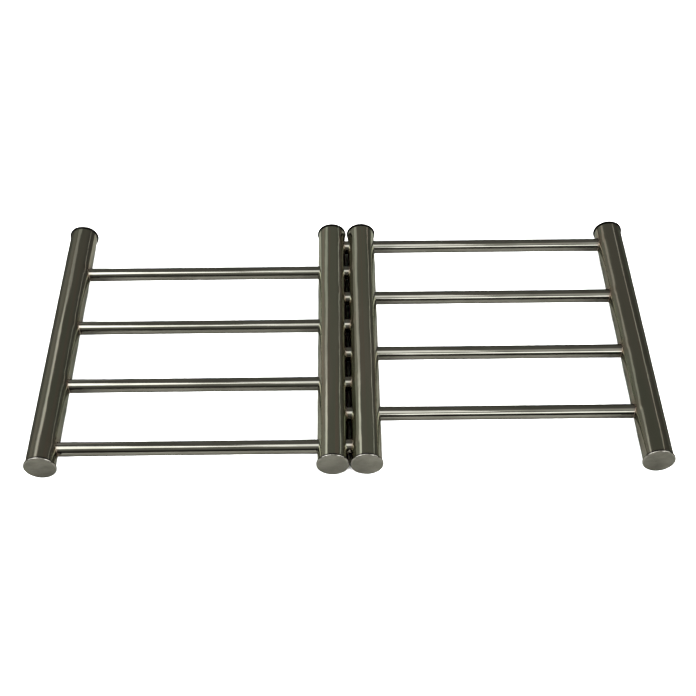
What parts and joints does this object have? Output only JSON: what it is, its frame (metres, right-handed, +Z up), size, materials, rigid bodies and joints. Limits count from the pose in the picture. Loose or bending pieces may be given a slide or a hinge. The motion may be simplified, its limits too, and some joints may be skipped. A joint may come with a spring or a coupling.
{
  "type": "extending slatted rack",
  "caption": "Flat extending rack of two nested ladder frames in round steel tube; the rungs of each slide through the inner tube of the other so it pulls out or pushes in.",
  "frame": {"origin": "on the surface the rack lies on, under the middle of the pulled-out rack, halfway between the two inner tubes", "axes": "+X along the extension, from the left frame to the right frame; +Y along the tubes, front to rear; +Z up"},
  "size_m": [0.3994, 0.207, 0.0204],
  "materials": {
    "tube_steel": "dark-toned stainless tube, polished lengthwise to a soft satin",
    "rung_steel": "dark-toned stainless bar, polished bright",
    "cap_steel": "pressed stainless, fine satin face and bright rolled rim"
  },
  "bodies": {
    "left_frame": {"left_end_tube": "tube_steel", "left_inner_tube": "tube_steel", "left_end_front_cap": "cap_steel", "left_end_rear_cap": "cap_steel", "left_inner_front_cap": "cap_steel", "left_inner_rear_cap": "cap_steel", "left_rung_1": "rung_steel", "left_rung_2": "rung_steel", "left_rung_3": "rung_steel", "left_rung_4": "rung_steel"},
    "right_frame": {"right_end_tube": "tube_steel", "right_inner_tube": "tube_steel", "right_end_front_cap": "cap_steel", "right_end_rear_cap": "cap_steel", "right_inner_front_cap": "cap_steel", "right_inner_rear_cap": "cap_steel", "right_rung_1": "rung_steel", "right_rung_2": "rung_steel", "right_rung_3": "rung_steel", "right_rung_4": "rung_steel"}
  },
  "joints": [
    {"name": "extension_slide", "type": "slide", "parent": "left_frame", "child": "right_frame", "axis": [1, 0, 0], "range_m": [-0.158, 0]}
  ]
}
